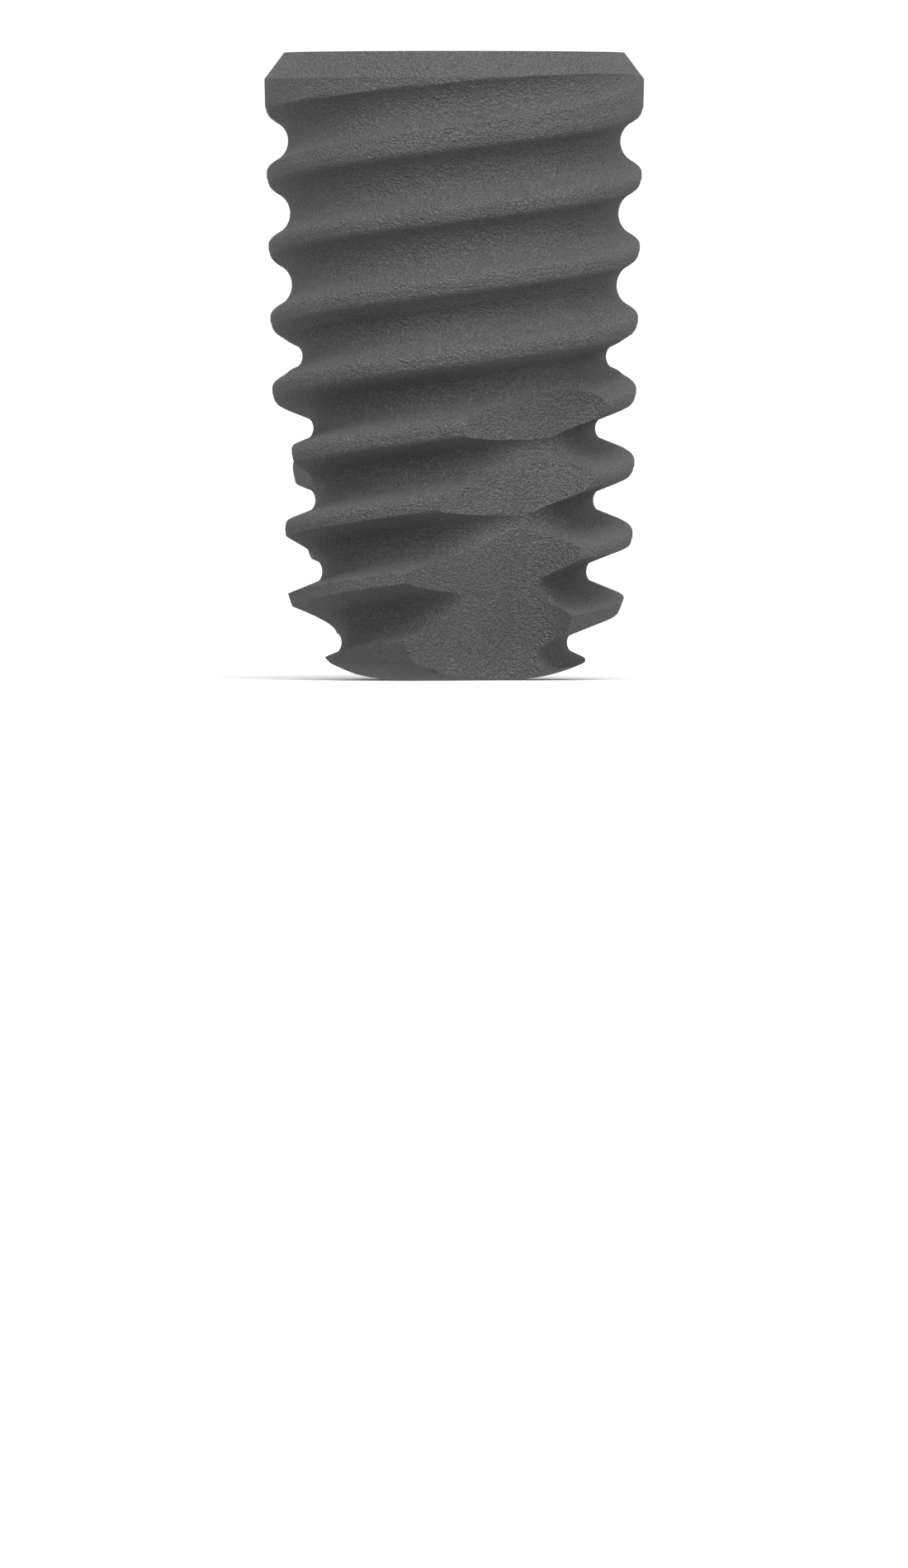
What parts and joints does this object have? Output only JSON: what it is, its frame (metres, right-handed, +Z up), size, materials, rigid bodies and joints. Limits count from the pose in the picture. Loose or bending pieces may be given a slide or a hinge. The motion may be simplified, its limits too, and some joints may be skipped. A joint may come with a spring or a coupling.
{
  "type": "dental implant",
  "caption": "Tapered root-form dental implant with a coarse self-cutting bone thread, cutting flutes at its apex and a hexagon socket in its platform.",
  "frame": {"origin": "centre of the flat apex, on the implant's axis", "axes": "+Z up the implant's axis, from the apex to the platform; -Y is the front that the picture shows, +X its right"},
  "size_m": [0.0048, 0.0048, 0.008],
  "materials": {
    "etched_titanium": "blasted and acid-etched titanium, matt dark grey with a fine wrinkled grain"
  },
  "bodies": {
    "root": {"implant_body": "etched_titanium"}
  },
  "joints": []
}
